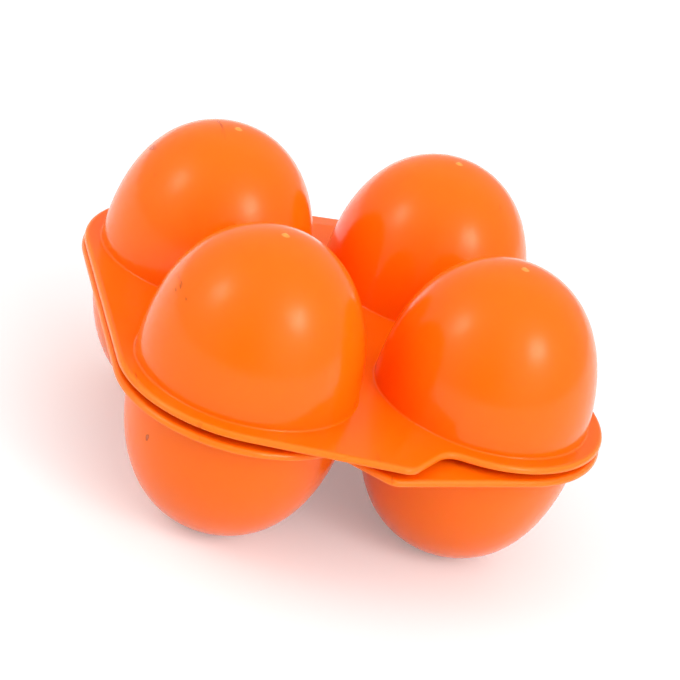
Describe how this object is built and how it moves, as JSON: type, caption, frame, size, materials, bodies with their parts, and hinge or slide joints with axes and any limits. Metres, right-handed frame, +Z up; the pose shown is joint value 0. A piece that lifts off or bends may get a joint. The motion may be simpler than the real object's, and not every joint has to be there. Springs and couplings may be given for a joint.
{
  "type": "egg box",
  "caption": "Folding egg box: a lid and a base with rounded egg cups, a flexible hinge along the back, staggered finger tabs in front and a closing stud in the middle.",
  "frame": {"origin": "on the surface that the box stands on, under the middle of its outline", "axes": "+X to the right, +Y to the back where the hinge is, +Z up; the finger tabs face -Y"},
  "size_m": [0.1098, 0.119, 0.0697],
  "materials": {
    "orange_plastic": "glossy injection-moulded polypropylene, slightly translucent"
  },
  "bodies": {
    "base": {"base_shell": "orange_plastic", "hinge_web": "orange_plastic"},
    "lid": {"lid_shell": "orange_plastic"}
  },
  "joints": [
    {"name": "lid_hinge", "type": "hinge", "parent": "base", "child": "lid", "pos_m": [0, 0.05946, 0.03445], "axis": [-1, 0, 0], "range_deg": [-0.65, 179.35], "deforming": ["hinge_web"]}
  ]
}
